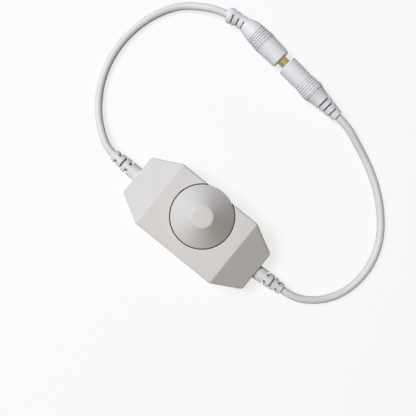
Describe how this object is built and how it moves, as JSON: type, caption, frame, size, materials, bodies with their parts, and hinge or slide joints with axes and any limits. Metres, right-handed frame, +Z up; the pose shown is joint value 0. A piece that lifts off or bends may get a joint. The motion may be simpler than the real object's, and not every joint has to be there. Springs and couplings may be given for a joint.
{
  "type": "led dimmer",
  "caption": "Inline rotary dimmer: octagonal two part housing with sloping ends, off-centre round knob, and two round leads that end in a mated jack and plug.",
  "frame": {"origin": "centre of the housing's flat underside", "axes": "+X along the housing to the output lead's end, +Y to the long side that the knob overhangs, +Z up"},
  "size_m": [0.1833, 0.1227, 0.0305],
  "materials": {
    "shell_plastic": "fine moulded satin",
    "knob_plastic": "satin, smooth",
    "gland_plastic": "soft satin",
    "lead_jacket": "soft satin",
    "connector_plastic": "soft satin",
    "socket_plastic": "moulded black",
    "chip_plastic": "moulded black",
    "screw_steel": "zinc plated",
    "plated_brass": "bright",
    "contact_metal": "tinned",
    "zinc_casting": "nickel plated",
    "can_steel": "pressed",
    "phenolic": "laminate",
    "rotor_plastic": "moulded",
    "board_laminate": "solder mask",
    "capacitor_sleeve": "shrunk sleeve",
    "chip_ceramic": "ceramic with dark glaze",
    "wire_red": "insulation",
    "wire_black": "insulation"
  },
  "bodies": {
    "housing": {"upper_shell": "shell_plastic", "lower_shell": "shell_plastic", "case_screws": "screw_steel", "pot_bushing": "zinc_casting", "pot_can": "can_steel", "resistive_track": "phenolic", "pot_washer": "can_steel", "pot_nut": "can_steel", "switch_case": "chip_plastic", "pot_terminals": "contact_metal", "circuit_board": "board_laminate", "filter_capacitor": "capacitor_sleeve", "capacitor_leads": "contact_metal", "transistor": "chip_plastic", "transistor_leads": "contact_metal", "timer_chip": "chip_plastic", "timer_chip_legs": "contact_metal", "chip_resistors": "chip_ceramic", "chip_capacitors": "phenolic", "diode": "chip_plastic", "input_wire_plus": "wire_red", "input_wire_minus": "wire_black", "output_wire_plus": "wire_red", "output_wire_minus": "wire_black", "input_gland": "gland_plastic", "output_gland": "gland_plastic", "input_lead": "lead_jacket", "output_lead": "lead_jacket", "jack_moulding": "connector_plastic", "jack_insert": "socket_plastic", "jack_pin": "plated_brass", "jack_sleeve_contact": "contact_metal", "plug_moulding": "connector_plastic", "plug_barrel": "plated_brass", "plug_insulator": "socket_plastic", "plug_inner_contact": "contact_metal"},
    "knob": {"knob": "knob_plastic", "pot_shaft": "zinc_casting", "pot_wiper": "rotor_plastic"}
  },
  "joints": [
    {"name": "knob_turn", "type": "hinge", "parent": "housing", "child": "knob", "pos_m": [0, 0.0047, 0.0166], "axis": [0, 0, -1], "range_deg": [0, 300]}
  ]
}
